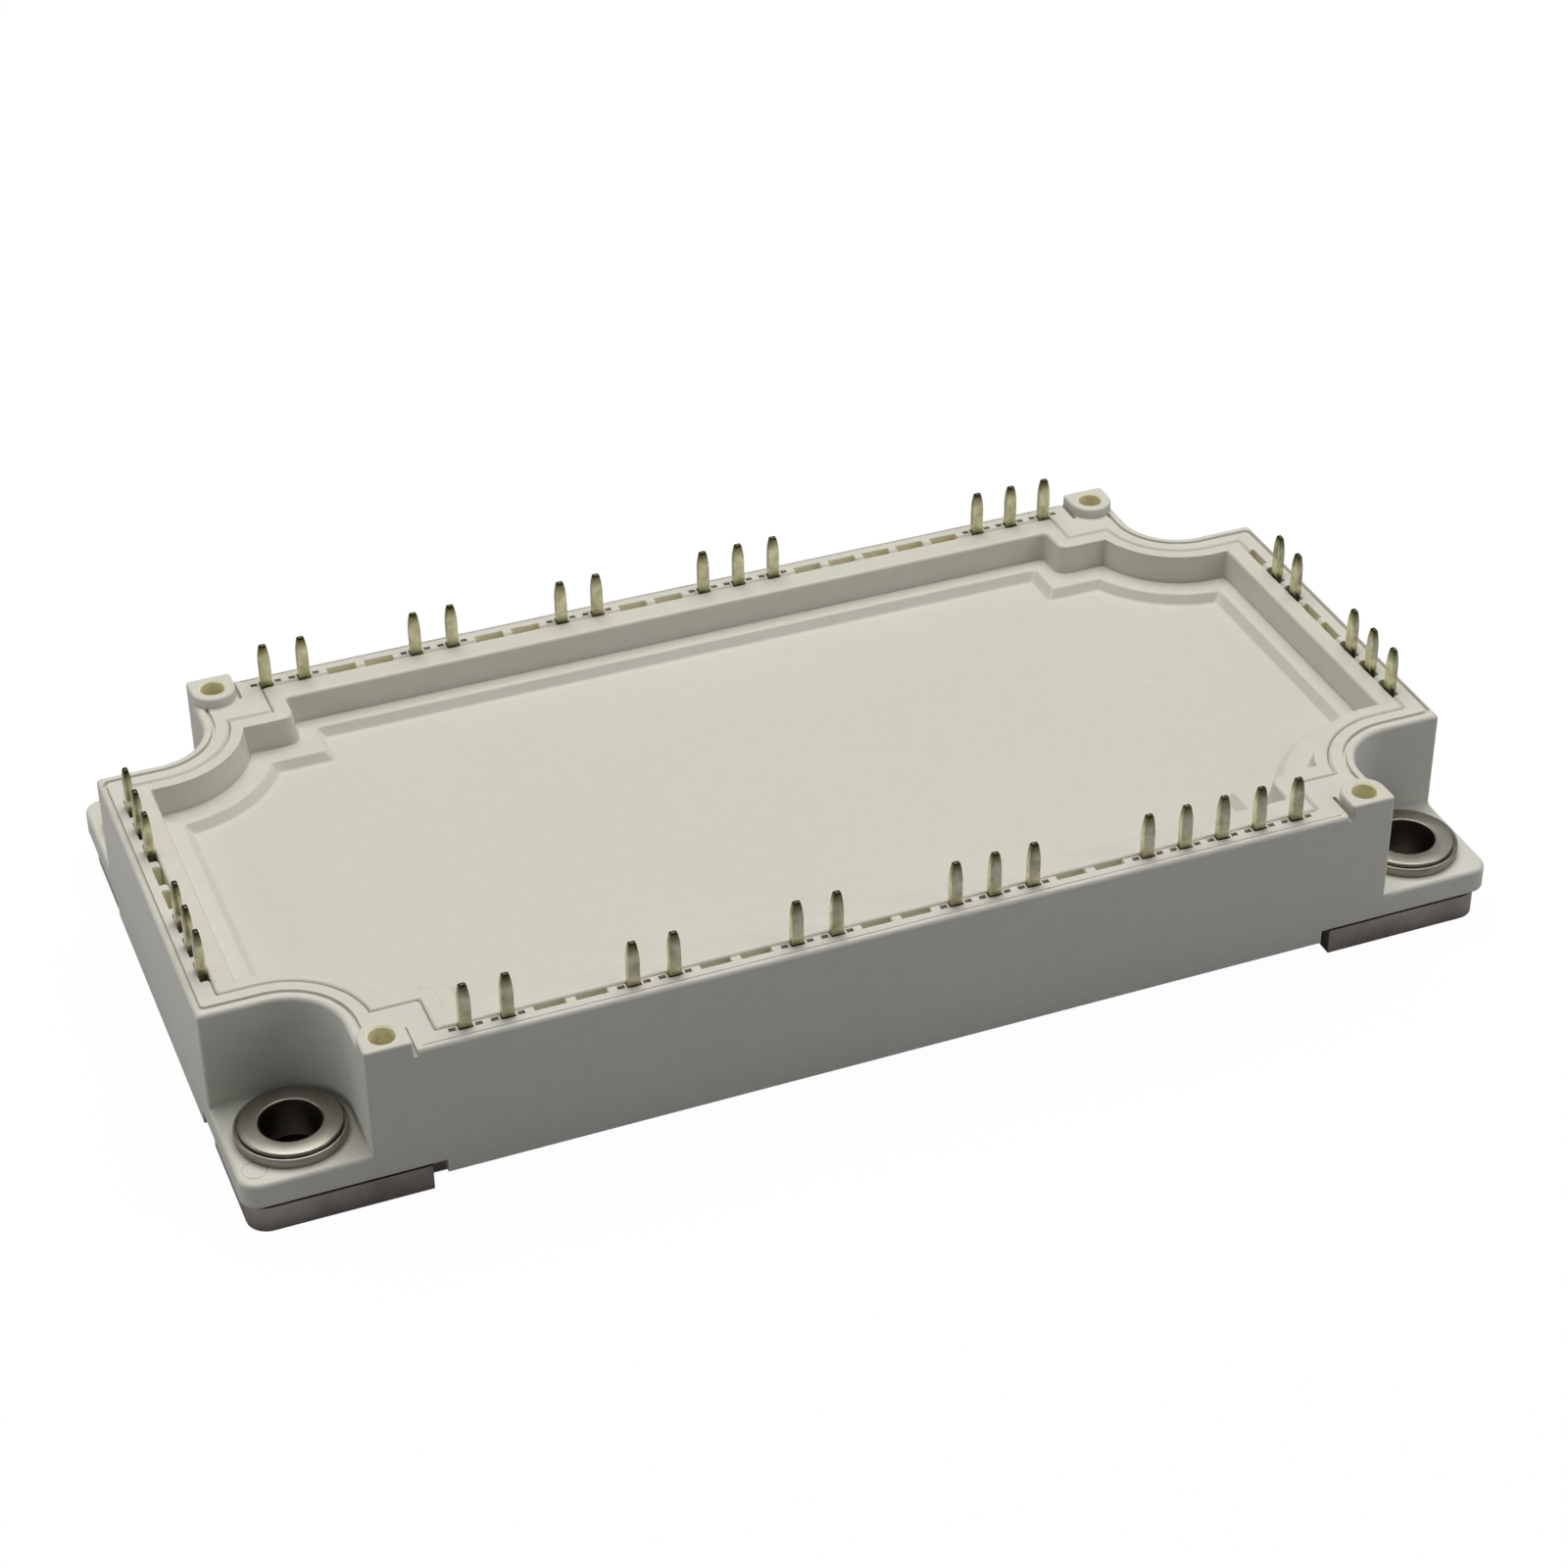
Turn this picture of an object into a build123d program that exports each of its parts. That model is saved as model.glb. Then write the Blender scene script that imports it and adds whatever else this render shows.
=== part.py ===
"""Solder-pin power module with baseplate, corner bushings, recessed lid and pin rows on a 3.81 mm grid.

X runs along the long side, Y across and Z up. The origin is the centre of the baseplate's underside.
All sizes are millimetres.
"""
import os
from math import atan2, degrees

from build123d import *

# Housing frame
length = 122.0
width = 62.0
wall_top = 16.0
lug_top = 5.75
lug_radius = 1.8

# Baseplate
plate_setback = 0.5
plate_thickness = 3.0
plate_radius = 2.0
tab_reach_x = 10.9
tab_reach_y = 7.3

# Skirts of the frame that reach down beside the plate between its corner tabs
skirt_bottom = 1.9
skirt_thickness = 2.4
skirt_gap = 0.1
skirt_end_gap = 1.2

# Heatsink screws and their bushings
hole_inset = 6.0
bore_radius = 2.8
sleeve_radius = 3.9
ring_radius = 4.5
ring_top = 7.0
collar_radius = 5.0
collar_height = 0.45

# Corner pockets over the bushings
pocket_radius = 5.55

# Board-screw towers
tower_radius = 2.2
tower_inset = 2.0
tower_top = 17.0
tower_hole_radius = 1.2
tower_hole_depth = 10.0
tower_groove = 0.35
tower_groove_depth = 0.6
tower_groove_length = 3.4

# Solder pins: between the row ends the places come to a grid of 3.81
row_inset_x = 1.945
row_inset_y = 1.79
row_end_inset_x = 19.09
row_end_inset_y = 17.665
pin_tip = 20.5
pin_width = 1.15
pin_thickness = 0.8
tip_width = 0.74
tip_thickness = 0.5
tip_length = 2.1
foot_reach = 3.9
heel_break = 0.45

# Places of each pin row in the order of their numbers: x holds a pin, a dot is an empty slot
front_row = "xx..xx..xx..xxx..xxxxx"
back_row = "xx..xx..xx..xxx.....xxx"
left_row = "xxx..xxx"
right_row = ".xx..xxx"

# Slots of the pin combs
comb_tooth = 0.86
slot_depth = 2.2

# Lid
lid_gap = 0.11
lid_bottom = 10.4
lid_corner_wall = 2.55
lid_step_reach_x = 12.5
lid_step_reach_y = 0.8
rim_end = 2.0
rim_side = 2.65
rim_corner = 1.3
rim_step = 1.7
recess_ledge_z = 13.2
ledge_width = 2.1
ledge_corner_width = 2.7
floor_z = 12.2
floor_run = 0.5

# Cavity under the lid
shelf_width = 1.2
cavity_corner_wall = 3.75
cavity_step_reach_x = 10.8
cavity_step_reach_y = 0.8
foot_ledge_height = 1.6
foot_ledge_width = 2.8

# Substrates, counted from left to right
solder_thickness = 0.1
copper_thickness = 0.3
ceramic_thickness = 0.38
substrate_clearance = 0.3
substrate_gap = 1.0
copper_margin = 0.7
island_gap = 0.8
strip_width = 2.6
pad_width = 1.9
pad_length = 3.2
side_pad_length = 2.4

# Chips
chip_thickness = 0.2
chip_end_margin = 1.2
rectifier_size = 7.0
transistor_size = 7.8
diode_size = 6.0
brake_transistor_size = 7.0
brake_diode_size = 5.0
thermistor_size = 1.8
thermistor_height = 1.0

# Bond wires and gel
wire_size = 0.35
wire_rise = 1.5
wire_landing = 0.9
gel_top = 8.2

hole_x = length / 2 - hole_inset
hole_y = width / 2 - hole_inset
tower_x = hole_x - pocket_radius - tower_radius
tower_y = width / 2 - tower_inset
row_x = length / 2 - row_inset_x
row_y = width / 2 - row_inset_y
pitch_x = (length - 2 * row_end_inset_x) / (max(len(front_row), len(back_row)) - 1)
pitch_y = (width - 2 * row_end_inset_y) / (max(len(left_row), len(right_row)) - 1)
tab_start_x = hole_x - tab_reach_x
tab_start_y = hole_y - tab_reach_y
lid_half_x = row_x - pin_thickness / 2 - lid_gap
lid_half_y = row_y - pin_thickness / 2 - lid_gap
lid_step_x = hole_x - lid_step_reach_x
lid_step_y = hole_y - lid_step_reach_y
foot_top = plate_thickness + foot_ledge_height + pin_thickness
copper_bottom = plate_thickness + solder_thickness
ceramic_bottom = copper_bottom + copper_thickness
conductor_bottom = ceramic_bottom + ceramic_thickness
chip_bottom = conductor_bottom + copper_thickness
chip_top = chip_bottom + chip_thickness
cavity_half_x = lid_half_x - shelf_width
cavity_half_y = lid_half_y - shelf_width
cavity_end_x = hole_x - pocket_radius - cavity_corner_wall
cavity_end_y = hole_y - pocket_radius - cavity_corner_wall
cavity_step_x = hole_x - cavity_step_reach_x
cavity_step_y = hole_y - cavity_step_reach_y
ledge_half_x = cavity_half_x - foot_ledge_width
ledge_half_y = cavity_half_y - foot_ledge_width
substrate_width = (2 * (cavity_end_x - substrate_clearance) - 2 * substrate_gap) / 3
substrate_length = 2 * (min(ledge_half_y, cavity_step_y) - substrate_clearance)
substrate_pitch = substrate_width + substrate_gap
copper_half_x = substrate_width / 2 - copper_margin
copper_half_y = substrate_length / 2 - copper_margin
island_half_y = copper_half_y - pad_length - island_gap
island_width = copper_half_x - side_pad_length / 2 - 2 * island_gap - strip_width
corners = [(side_x, side_y) for side_x in (-1, 1) for side_y in (-1, 1)]


def block(x_range, y_range, z_range):
    """Box between two corners, given as a pair of limits for each axis."""
    size = [limits[1] - limits[0] for limits in (x_range, y_range, z_range)]
    middle = [sum(limits) / 2 for limits in (x_range, y_range, z_range)]
    return Pos(*middle) * Box(*size)


def corner_sheet(x, y, side_x, side_y):
    """Flat rectangle from a point of one quarter out past the housing's corner."""
    middle = Pos(side_x * (x + length) / 2, side_y * (y + width) / 2)
    return middle * Rectangle(length - x, width - y)


def stepped_outline(half_x, half_y, radius, step_x, step_y):
    """Rectangle with each corner cut back by an arc round the screw hole and by a square step."""
    sheet = Rectangle(2 * half_x, 2 * half_y)
    for side_x, side_y in corners:
        sheet -= Pos(side_x * hole_x, side_y * hole_y) * Circle(radius)
        sheet -= corner_sheet(hole_x, hole_y - radius, side_x, side_y)
        sheet -= corner_sheet(step_x, step_y, side_x, side_y)
    return sheet


def raised(sheet, bottom, top):
    """Sheet made solid from one height up to another."""
    return extrude(Pos(0, 0, bottom) * sheet, top - bottom)


def wall_outline():
    """Outside of the frame above its lugs."""
    return stepped_outline(length / 2, width / 2, pocket_radius, hole_x - pocket_radius, hole_y)


def lid_outline(grow=0.0):
    """Outside of the lid, grown by a gap."""
    half_x = lid_half_x + grow
    half_y = lid_half_y + grow
    radius = pocket_radius + lid_corner_wall - grow
    return stepped_outline(half_x, half_y, radius, lid_step_x + grow, lid_step_y + grow)


def recess_outline(inset=0.0, corner_inset=0.0):
    """Inside of the lid's rim, drawn in by an inset."""
    half_x = lid_half_x - rim_end - inset
    half_y = lid_half_y - rim_side - inset
    radius = pocket_radius + lid_corner_wall + rim_corner + corner_inset
    step_x = lid_step_x - rim_step - inset
    step_y = lid_step_y - rim_step - corner_inset
    return stepped_outline(half_x, half_y, radius, step_x, step_y)


def cavity_outline(half_x, half_y):
    """Room for the circuit, cut back by square steps at the corner pockets and the towers."""
    sheet = Rectangle(2 * half_x, 2 * half_y)
    for side_x, side_y in corners:
        sheet -= corner_sheet(cavity_end_x, cavity_end_y, side_x, side_y)
        sheet -= corner_sheet(cavity_step_x, cavity_step_y, side_x, side_y)
    return sheet


def cavity(top):
    """Hollow for the circuit from the plate up to a height, narrower between the ledges of the pin feet."""
    ledge_top = plate_thickness + foot_ledge_height
    lower = raised(cavity_outline(ledge_half_x, ledge_half_y), plate_thickness, ledge_top)
    return lower + raised(cavity_outline(cavity_half_x, cavity_half_y), ledge_top, top)


rows = {
    "front": (front_row, pitch_x),
    "back": (back_row, -pitch_x),
    "left": (left_row, pitch_y),
    "right": (right_row, -pitch_y),
}

row_locations = {
    "front": Pos(0, -row_y, 0),
    "back": Pos(0, row_y, 0) * Rot(0, 0, 180),
    "left": Pos(-row_x, 0, 0) * Rot(0, 0, -90),
    "right": Pos(row_x, 0, 0) * Rot(0, 0, 90),
}


def row_places(name, wanted="x."):
    """Places along the row's own X of the wanted marks of a pin row, by their numbers."""
    marks, step = rows[name]
    first = -(len(marks) - 1) / 2
    return {index + 1: step * (first + index) for index, mark in enumerate(marks) if mark in wanted}


def make_pin():
    """Flat pin bent to an L, shared by the extruded front view and side view; Y points into the housing."""
    foot_bottom = foot_top - pin_thickness
    shoulder = pin_tip - tip_length
    front_view = Polyline(
        (-pin_width / 2, foot_bottom),
        (pin_width / 2, foot_bottom),
        (pin_width / 2, shoulder),
        (tip_width / 2, pin_tip),
        (-tip_width / 2, pin_tip),
        (-pin_width / 2, shoulder),
        close=True,
    )
    side_view = Polyline(
        (heel_break - pin_thickness / 2, foot_bottom),
        (foot_reach, foot_bottom),
        (foot_reach, foot_top),
        (pin_thickness / 2, foot_top),
        (pin_thickness / 2, shoulder),
        (tip_thickness / 2, pin_tip),
        (-tip_thickness / 2, pin_tip),
        (-pin_thickness / 2, shoulder),
        (-pin_thickness / 2, foot_bottom + heel_break),
        close=True,
    )
    front_solid = extrude(Plane.XZ * make_face(front_view), 2 * foot_reach, both=True)
    side_solid = extrude(Plane.YZ * make_face(side_view), pin_width, both=True)
    return front_solid & side_solid


def make_baseplate():
    """Metal plate, set back between its corner tabs to make room for the frame's skirts."""
    set_back = skirt_thickness + skirt_gap
    sheet = RectangleRounded(length - 2 * plate_setback, width - 2 * plate_setback, plate_radius)
    for side in (-1, 1):
        sheet -= Pos(0, side * width / 2) * Rectangle(2 * tab_start_x, 2 * set_back)
        sheet -= Pos(side * length / 2, 0) * Rectangle(2 * set_back, 2 * tab_start_y)
    for side_x, side_y in corners:
        sheet -= Pos(side_x * hole_x, side_y * hole_y) * Circle(bore_radius)
    return raised(sheet, 0, plate_thickness)


def make_skirts():
    """Four skirts that close the gaps beside the plate between its corner tabs."""
    sheet = Sketch()
    half_x = tab_start_x - skirt_end_gap
    half_y = tab_start_y - skirt_end_gap
    for side in (-1, 1):
        sheet += Pos(0, side * (width - skirt_thickness) / 2) * Rectangle(2 * half_x, skirt_thickness)
        sheet += Pos(side * (length - skirt_thickness) / 2, 0) * Rectangle(skirt_thickness, 2 * half_y)
    return raised(sheet, skirt_bottom, plate_thickness)


def make_tower(side_x, side_y):
    """Board-screw tower: round at the back and flush with the wall in front."""
    sheet = Circle(tower_radius)
    sheet += Pos(0, side_y * tower_radius / 2) * Rectangle(2 * tower_radius, tower_radius)
    sheet -= Pos(0, side_y * (tower_inset + tower_radius)) * Rectangle(3 * tower_radius, 2 * tower_radius)
    return Pos(side_x * tower_x, side_y * tower_y, 0) * raised(sheet, lug_top, tower_top)


def tower_cuts(side_x, side_y):
    """Blind screw hole of a tower and the narrow groove beside the tower."""
    hole = Pos(side_x * tower_x, side_y * tower_y, tower_top) * Cylinder(
        tower_hole_radius, tower_hole_depth, align=(Align.CENTER, Align.CENTER, Align.MAX))
    inner_side = tower_x - tower_radius
    groove_x = sorted((side_x * (inner_side - tower_groove), side_x * inner_side))
    groove_y = sorted((side_y * (width / 2 - tower_groove_length), side_y * width / 2))
    return hole + block(groove_x, groove_y, (wall_top - tower_groove_depth, wall_top))


def comb_cuts(name):
    """Slots of one pin row: at its empty places, and on the short sides round the pins too."""
    half = pin_thickness / 2
    half_slot = (abs(rows[name][1]) - comb_tooth) / 2
    wanted = "x." if name in ("left", "right") else "."
    height = (wall_top - slot_depth, wall_top)
    return [
        row_locations[name] * block((place - half_slot, place + half_slot), (-half, half), height)
        for place in row_places(name, wanted).values()
    ]


def make_frame(pins):
    """Housing frame: lugs, pocketed wall, skirts and towers, hollowed for lid and circuit."""
    frame = raised(RectangleRounded(length, width, lug_radius), plate_thickness, lug_top)
    frame += raised(wall_outline(), lug_top, wall_top)
    frame += make_skirts()
    for side_x, side_y in corners:
        frame += make_tower(side_x, side_y)
    frame -= raised(lid_outline(lid_gap), lid_bottom, wall_top)
    frame -= cavity(lid_bottom)
    cuts = []
    for side_x, side_y in corners:
        cuts.append(tower_cuts(side_x, side_y))
        cuts.append(Pos(side_x * hole_x, side_y * hole_y, plate_thickness) * Cylinder(
            sleeve_radius, lug_top - plate_thickness, align=(Align.CENTER, Align.CENTER, Align.MIN)))
    for name in rows:
        cuts += comb_cuts(name)
    return frame - cuts - pins


def make_lid():
    """Lid with a raised rim, a steep wall, a ledge and a sunk floor."""
    lid = raised(lid_outline(), lid_bottom, wall_top)
    lid -= raised(recess_outline(), recess_ledge_z, wall_top)
    step = Pos(0, 0, recess_ledge_z) * recess_outline(ledge_width, ledge_corner_width)
    depth = recess_ledge_z - floor_z
    return lid - extrude(step, depth, dir=(0, 0, -1), taper=degrees(atan2(floor_run, depth)))


def make_bushing():
    """Turned bushing about its own axis: sleeve on the plate, collar on the lug and ring on the collar."""
    collar_top = lug_top + collar_height
    profile = Polyline(
        (bore_radius, plate_thickness),
        (sleeve_radius, plate_thickness),
        (sleeve_radius, lug_top),
        (collar_radius, lug_top),
        (collar_radius, collar_top),
        (ring_radius, collar_top),
        (ring_radius, ring_top),
        (bore_radius, ring_top),
        close=True,
    )
    return revolve(Plane.XZ * make_face(profile), Axis.Z)


substrates = {"left": (-substrate_pitch, 1), "middle": (0, 1), "right": (substrate_pitch, -1)}

chips = {
    "left": (
        ("rectifier_diodes", "rectifier_diodes", "rectifier_diodes", "brake_transistor"),
        ("rectifier_diodes", "rectifier_diodes", "rectifier_diodes", "brake_diode"),
    ),
    "middle": (
        ("inverter_transistors", "inverter_diodes", "inverter_transistors", "inverter_diodes"),
        ("inverter_transistors", "inverter_diodes", "inverter_transistors", "inverter_diodes"),
    ),
    "right": (
        ("inverter_transistors", "inverter_diodes", "thermistor"),
        ("inverter_transistors", "inverter_diodes"),
    ),
}

wired_chips = ("rectifier_diodes", "inverter_transistors", "brake_transistor", "brake_diode")

chip_sizes = {
    "rectifier_diodes": rectifier_size,
    "inverter_transistors": transistor_size,
    "inverter_diodes": diode_size,
    "brake_transistor": brake_transistor_size,
    "brake_diode": brake_diode_size,
    "thermistor": thermistor_size,
}


def substrate_sheet(name, margin=0.0):
    """Outline of one ceramic substrate, drawn in by a margin."""
    middle_x = substrates[name][0]
    return Pos(middle_x, 0) * Rectangle(substrate_width - 2 * margin, substrate_length - 2 * margin)


def island_start(column):
    """Distance of a chip island from the substrate's outer copper edge."""
    return side_pad_length + island_gap + column * (island_width + strip_width + 2 * island_gap)


def across(name, distance):
    """X at a distance inward from the outer copper edge of a substrate."""
    middle_x, direction = substrates[name]
    return middle_x + direction * (distance - copper_half_x)


def landing_range(row):
    """Near and far edge of the pads that serve a pin row, measured inward from the row."""
    if row in ("left", "right"):
        near = row_x - substrate_pitch - copper_half_x
        return near, near + side_pad_length
    near = row_y - copper_half_y
    return near, near + pad_length


def pin_substrate(row, place):
    """Substrate that a pin's wire lands on."""
    if row in substrates:
        return row
    x = (row_locations[row] * Pos(place, 0, 0)).position.X
    return sorted(substrates, key=lambda name: abs(substrates[name][0] - x))[0]


def make_conductors(name):
    """Copper on top of one substrate: two chip islands, two wire strips and a pad for each pin."""
    height = (conductor_bottom, chip_bottom)
    pieces = []
    for column in range(2):
        start = island_start(column)
        strip_start = start + island_width + island_gap
        for near, far in ((start, start + island_width), (strip_start, strip_start + strip_width)):
            x_range = sorted((across(name, near), across(name, far)))
            pieces.append(block(x_range, (-island_half_y, island_half_y), height))
    for row, location in row_locations.items():
        for place in row_places(row, "x").values():
            if pin_substrate(row, place) == name:
                along = (place - pad_width / 2, place + pad_width / 2)
                pieces.append(location * block(along, landing_range(row), height))
    return Compound(children=pieces)


def chip_places():
    """Kind, substrate, column and Y of every chip."""
    longest = max(len(kinds) for columns in chips.values() for kinds in columns)
    chip_spacing = 2 * (island_half_y - chip_end_margin - transistor_size / 2) / (longest - 1)
    for name, columns in chips.items():
        for column, kinds in enumerate(columns):
            for index, kind in enumerate(kinds):
                yield kind, name, column, chip_spacing * ((len(kinds) - 1) / 2 - index)


def make_chips(wanted):
    """All chips of one kind, each centred across its copper island."""
    half = chip_sizes[wanted] / 2
    height = thermistor_height if wanted == "thermistor" else chip_thickness
    z_range = (chip_bottom, chip_bottom + height)
    pieces = []
    for kind, name, column, y in chip_places():
        if kind == wanted:
            x = across(name, island_start(column) + island_width / 2)
            pieces.append(block((x - half, x + half), (y - half, y + half), z_range))
    return Compound(children=pieces)


def make_wire(start, start_z, end, end_z):
    """Arched wire along its own Y, wedged flat where it lands at both ends."""
    middle = (start + end) / 2
    peak = max(start_z, end_z) + wire_rise
    arch = Polyline(
        (start, start_z),
        (start + wire_landing, start_z),
        (middle, peak - wire_size),
        (end - wire_landing, end_z),
        (end, end_z),
        (middle, peak),
        close=True,
    )
    return extrude(Plane.YZ * make_face(arch), wire_size / 2, both=True)


def make_wires():
    """A wire from every pin foot to its pad, and from the main chips to the strip beside them."""
    wires = []
    for row, location in row_locations.items():
        near, far = landing_range(row)
        pad_end = (near + far + wire_landing) / 2
        wire = make_wire(foot_reach - 2 * wire_landing, foot_top, pad_end, chip_bottom)
        wires += [location * Pos(place, 0, 0) * wire for place in row_places(row, "x").values()]
    reach = (island_width + strip_width + wire_landing) / 2 + island_gap
    wire = make_wire(-wire_landing / 2, chip_top, reach, chip_bottom)
    for kind, name, column, y in chip_places():
        if kind in wired_chips:
            x = across(name, island_start(column) + island_width / 2)
            wires.append(Pos(x, y, 0) * Rot(0, 0, -90 * substrates[name][1]) * wire)
    return Compound(children=wires)


def build():
    """Every piece of the module by its name."""
    pieces = {"baseplate": make_baseplate()}
    pin = make_pin()
    pins = {}
    for row, location in row_locations.items():
        for number, place in row_places(row, "x").items():
            pins[f"{row}_pin_{number:02d}"] = location * Pos(place, 0, 0) * pin
    pieces["housing_frame"] = make_frame(list(pins.values()))
    pieces["lid"] = make_lid()
    bushing = make_bushing()
    pieces["bushings"] = Compound(children=[
        Pos(side_x * hole_x, side_y * hole_y, 0) * bushing for side_x, side_y in corners])
    pieces.update(pins)

    under_ceramic = [substrate_sheet(name, copper_margin) for name in substrates]
    inner = {
        "substrate_solder": Compound(children=[
            raised(sheet, plate_thickness, copper_bottom) for sheet in under_ceramic]),
        "back_copper": Compound(children=[
            raised(sheet, copper_bottom, ceramic_bottom) for sheet in under_ceramic]),
    }
    for name in substrates:
        inner[f"ceramic_{name}"] = raised(substrate_sheet(name), ceramic_bottom, conductor_bottom)
        inner[f"conductors_{name}"] = make_conductors(name)
    for kind in chip_sizes:
        inner[kind] = make_chips(kind)
    inner["bond_wires"] = make_wires()
    covered = [solid for piece in inner.values() for solid in piece.solids()]
    covered += [solid for piece in pins.values() for solid in piece.solids()]
    inner["silicone_gel"] = cavity(gel_top) - covered
    pieces.update(inner)
    return pieces


os.makedirs("parts", exist_ok=True)
for node, piece in build().items():
    export_step(piece, f"parts/{node}.step")
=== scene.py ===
"""Dresses the solder-pin power module: moulded housing and lid, turned bushings, tinned pins, copper plate.

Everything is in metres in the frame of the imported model: X along the long side, Y across, Z up.
Sizes are named in millimetres, and a mesh is turned to metres when it is made an object.
"""
import math

import bmesh
import bpy
import numpy as np
from mathutils import Matrix, Vector


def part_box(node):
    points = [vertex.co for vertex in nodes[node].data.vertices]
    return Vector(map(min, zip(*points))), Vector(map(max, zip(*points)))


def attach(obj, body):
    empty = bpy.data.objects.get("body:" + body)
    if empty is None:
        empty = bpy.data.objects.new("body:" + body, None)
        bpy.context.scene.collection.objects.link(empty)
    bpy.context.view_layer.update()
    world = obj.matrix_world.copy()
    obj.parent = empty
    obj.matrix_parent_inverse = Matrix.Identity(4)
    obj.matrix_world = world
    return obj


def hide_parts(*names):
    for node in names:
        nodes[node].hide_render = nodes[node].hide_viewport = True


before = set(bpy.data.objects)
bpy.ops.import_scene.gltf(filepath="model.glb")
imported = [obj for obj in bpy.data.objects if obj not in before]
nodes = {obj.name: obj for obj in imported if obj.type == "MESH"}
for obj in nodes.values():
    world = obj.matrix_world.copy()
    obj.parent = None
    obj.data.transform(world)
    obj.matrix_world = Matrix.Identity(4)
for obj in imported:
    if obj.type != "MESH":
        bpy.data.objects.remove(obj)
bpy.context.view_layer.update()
MM = 0.001


# Sizes in millimetres: the outside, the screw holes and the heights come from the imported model

def size_mm(node):
    """Lowest and highest corner of a node in millimetres."""
    low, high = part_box(node)
    return np.array(low) / MM, np.array(high) / MM


collar_radius = 5.0
house_x, house_y, tower_top = size_mm("housing_frame")[1]
hole_x, hole_y = size_mm("bushings")[1][:2] - collar_radius
lid_half_x, lid_half_y, wall_top = size_mm("lid")[1]
plate_top = size_mm("baseplate")[1][2]
pin_top = size_mm("front_pin_01")[1][2]
quarters = [(1, 1), (-1, 1), (-1, -1), (1, -1)]

# wall, lugs and the pockets over them
wall_edge = 0.45
plan_corner = 0.4
pocket_radius = 5.55
lug_top = 5.75
lug_corner = 1.8
lug_edge = 0.45
lug_edge_fade = 0.8
lug_fillet = 0.4
lug_fillet_fade = 2.0

# towers for the board screws, and the notch beside each
tower_radius = 2.2
tower_inset = 2.0
tower_edge = 0.28
tower_root = 1.0
tower_proud = 0.01
tower_x = hole_x - pocket_radius - tower_radius
tower_y = house_y - tower_inset
tower_hole_radius = 1.2
tower_hole_depth = 10.0
tower_hole_chamfer = 0.16
notch_width = 0.35
notch_depth = 0.6
notch_length = 3.4
notch_bite = 0.02
notch_rise = 0.5

# skirts beside the plate, and the joint over it
skirt_bottom = 1.9
skirt_thickness = 2.4
skirt_end_x = 42.9
skirt_end_y = 16.5
glue_gap = 0.28
glue_inset = 0.6
foot_edge = 0.08

# opening for the lid and the shelf it sits on
lid_gap = 0.05
lid_lip = 0.24
lid_bottom = 10.4
lid_corner_wall = 2.55
lid_plan_corner = 0.3
lid_step_run = 12.5
lid_step_drop = 0.8
lid_step_x = hole_x - lid_step_run
lid_step_y = hole_y - lid_step_drop
shelf_width = 1.2
shelf_corner_wall = 3.75
shelf_step_run = 10.8

# lid: rim, recess wall with a fine groove at its foot, ledge and floor
lid_edge = 0.3
lid_chamfer = 0.4
rim_end = 2.0
rim_side = 2.65
rim_corner = 1.3
rim_step = 1.7
rim_round = 0.34
recess_corner = 1.4
recess_hollow = 0.4
recess_draft = 0.35
recess_ledge_z = 13.2
foot_groove_depth = 0.1
foot_groove_edge = 0.02
foot_groove_bottom = 0.12
foot_groove_width = 0.2
ledge_width = 2.1
ledge_corner_width = 2.7
ledge_corner = 0.35
ledge_nose = 0.2
floor_z = 12.2
floor_run = 0.82

# pins and their rows
pitch = 3.81
places = {"front": 22, "back": 23, "left": 8, "right": 8}
long_row_inset = 1.79
end_row_inset = 1.945
pin_width = 1.15
pin_thickness = 0.8
pin_round = 0.17
pin_foot_z = 5.0
pin_reach = 3.9
pin_bend = 0.5
tip_width = 0.64
tip_thickness = 0.44
tip_length = 2.1
tip_nib = 0.12

# comb of slots, and the trims round the pins' feet
slot_length = 2.95
slot_depth = 2.2
slot_inward = 0.3
slot_narrowing = {"right": 0.25}
side_notch_width = 0.66
side_notch_depth = 1.6
side_notch_length = 0.5
side_notch_place = 1.2
well_gap = 0.1
well_depth = 0.35

# grooves in the frame's top, and the round moulding mark on one lug
groove_inset = 0.55
groove_inset_pocket = 1.0
groove_corner = 0.7
groove_width = 0.40
groove_depth = 0.36
groove_into_tower = 0.3
side_groove_width = 0.2
side_groove_depth = 0.08
side_groove_gap = 0.6
mark_place = (-59.3, -28.8)
mark_radius = 1.1
mark_width = 0.16
mark_depth = 0.05

# bushings and baseplate
bore_radius = 2.8
sleeve_radius = 3.9
ring_radius = 4.6
ring_top = 7.0
collar_top = 6.68
ring_groove_width = 0.16
ring_groove_depth = 0.3
bore_edge = 0.02
sleeve_edge = 0.05
collar_edge = 0.06
ring_edge = 0.16
plate_edge = 0.08


# Colour and node helpers

def linear(code):
    """Linear RGBA of an sRGB hex code."""
    values = [int(code[i:i + 2], 16) / 255 for i in (1, 3, 5)]
    return [v / 12.92 if v <= 0.04045 else ((v + 0.055) / 1.055) ** 2.4 for v in values] + [1.0]


def linear_ramp(*stops):
    """Colour ramp's stops from pairs of a position and a hex code."""
    return [(position, linear(code)) for position, code in stops]


# inputs and output of a colour Mix node, which go by number because its sockets share their names
mix_a, mix_b, mix_result = 6, 7, 2


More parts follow.
